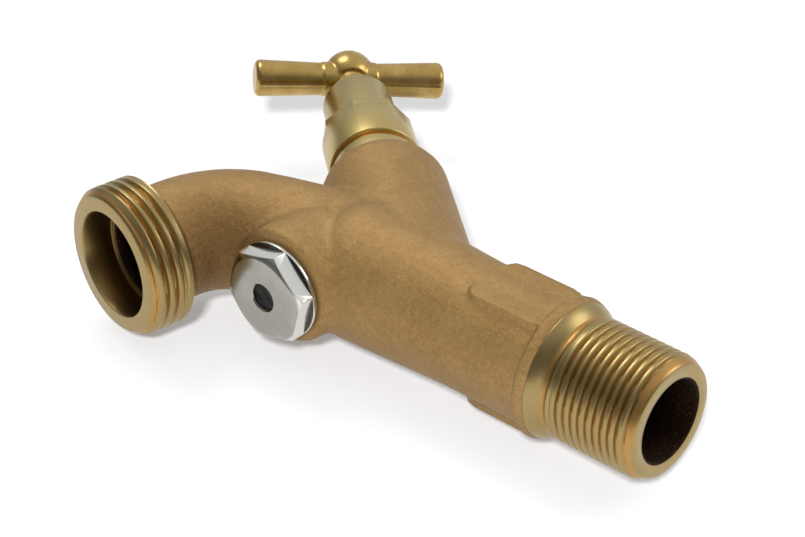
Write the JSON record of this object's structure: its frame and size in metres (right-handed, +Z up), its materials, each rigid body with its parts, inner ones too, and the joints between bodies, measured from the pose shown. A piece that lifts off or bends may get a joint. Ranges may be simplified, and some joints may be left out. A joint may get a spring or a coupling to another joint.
{
  "type": "bib tap",
  "caption": "Cast bib tap with an inclined screw-down bonnet, T-bar handle, threaded wall inlet, curved spout with a hose thread and a vacuum vent under it.",
  "frame": {"origin": "on the inlet's axis, 5 mm in from its end face, where the thread is full", "axes": "+X out of the inlet along its axis, towards the wall; +Z up; y = 0 is the plane of symmetry of the body"},
  "size_m": [0.1565, 0.0332, 0.1156],
  "materials": {
    "cast_bronze": "blasted gunmetal casting with machined threads",
    "turned_brass": "bright turned and milled brass",
    "spindle_brass": "turned brass",
    "forged_brass": "satin forged brass with a parting seam",
    "stainless": "turned stainless steel",
    "fibre": "red vulcanised fibre",
    "rubber": "black EPDM rubber",
    "dark_plastic": "dark grey acetal",
    "white_plastic": "natural acetal"
  },
  "bodies": {
    "root": {"body": "cast_bronze", "seat_ring": "stainless", "bonnet": "turned_brass", "bonnet_gasket": "fibre", "wiper_ring": "white_plastic", "vent_plug": "stainless", "vent_gasket": "rubber", "vent_cage": "white_plastic", "vent_spring": "stainless"},
    "valve": {"valve_plate": "spindle_brass", "plate_clip": "stainless", "valve_washer": "rubber", "cup_washer": "spindle_brass", "washer_nut": "spindle_brass"},
    "spindle_and_handle": {"spindle": "spindle_brass", "spindle_o_rings": "rubber", "handle": "forged_brass", "handle_screw": "stainless"},
    "vent_valve": {"vent_disc": "dark_plastic", "vent_seal": "rubber"}
  },
  "joints": [
    {"name": "valve_lift", "type": "slide", "parent": "root", "child": "valve", "axis": [-0.7771, 0, 0.6293], "range_m": [0, 0.006]},
    {"name": "handle_turn", "type": "hinge", "parent": "valve", "child": "spindle_and_handle", "pos_m": [-0.13541, 0, 0.05985], "axis": [-0.7771, 0, 0.6293], "range_deg": [0, 720]},
    {"name": "vent_lift", "type": "slide", "parent": "root", "child": "vent_valve", "axis": [0, 0, 1], "range_m": [0, 0.002], "stiffness_N_per_m": 60, "springref_m": -0.001, "deforming": ["vent_spring"]}
  ],
  "couplings": [
    {"joint": "handle_turn", "follows": "valve_lift", "rad_per_m": 2094.4}
  ]
}
